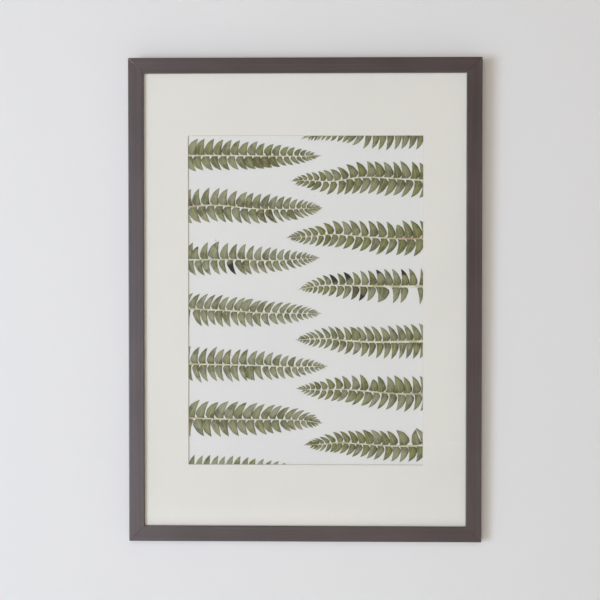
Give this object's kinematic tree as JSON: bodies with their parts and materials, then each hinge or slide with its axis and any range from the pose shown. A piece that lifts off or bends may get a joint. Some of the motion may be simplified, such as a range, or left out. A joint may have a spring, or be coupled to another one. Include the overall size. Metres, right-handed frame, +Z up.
{
  "type": "pressed flower frame",
  "caption": "Upright hanging frame of dark stained wood with pressed fern frond tips laid across white paper in a cream mat window behind glass.",
  "frame": {"origin": "centre of the whole object's box", "axes": "+Z up the frame's long side as it hangs, -Y out of the glass towards the viewer, +Y to the wall, +X to the viewer's right"},
  "size_m": [0.54, 0.022, 0.74],
  "materials": {
    "stained_wood": "dark grey-brown stain under a thin satin varnish",
    "picture_glass": "clear float glass, polished",
    "mat_board": "cream mat board, matte",
    "pressed_fern": "dry pressed olive green frond, matte",
    "white_paper": "uncoated cool white paper, matte",
    "hardboard": "brown hardboard, rough side out",
    "zinc_steel": "zinc plated steel, satin",
    "felt": "dark grey wool felt"
  },
  "bodies": {
    "root": {"rail_top": "stained_wood", "rail_bottom": "stained_wood", "stile_left": "stained_wood", "stile_right": "stained_wood", "v_nail_top_left": "zinc_steel", "v_nail_top_right": "zinc_steel", "v_nail_bottom_left": "zinc_steel", "v_nail_bottom_right": "zinc_steel", "glass_pane": "picture_glass", "window_mat": "mat_board", "frond_left_1": "pressed_fern", "frond_left_2": "pressed_fern", "frond_left_3": "pressed_fern", "frond_left_4": "pressed_fern", "frond_left_5": "pressed_fern", "frond_left_6": "pressed_fern", "frond_left_7": "pressed_fern", "frond_right_1": "pressed_fern", "frond_right_2": "pressed_fern", "frond_right_3": "pressed_fern", "frond_right_4": "pressed_fern", "frond_right_5": "pressed_fern", "frond_right_6": "pressed_fern", "frond_right_7": "pressed_fern", "mounting_paper": "white_paper", "backing_board": "hardboard", "retaining_point_01": "zinc_steel", "retaining_point_02": "zinc_steel", "retaining_point_03": "zinc_steel", "retaining_point_04": "zinc_steel", "retaining_point_05": "zinc_steel", "retaining_point_06": "zinc_steel", "retaining_point_07": "zinc_steel", "retaining_point_08": "zinc_steel", "retaining_point_09": "zinc_steel", "retaining_point_10": "zinc_steel", "sawtooth_hanger": "zinc_steel", "hanger_screw_left": "zinc_steel", "hanger_screw_right": "zinc_steel", "wall_bumper_left": "felt", "wall_bumper_right": "felt"}
  },
  "joints": []
}
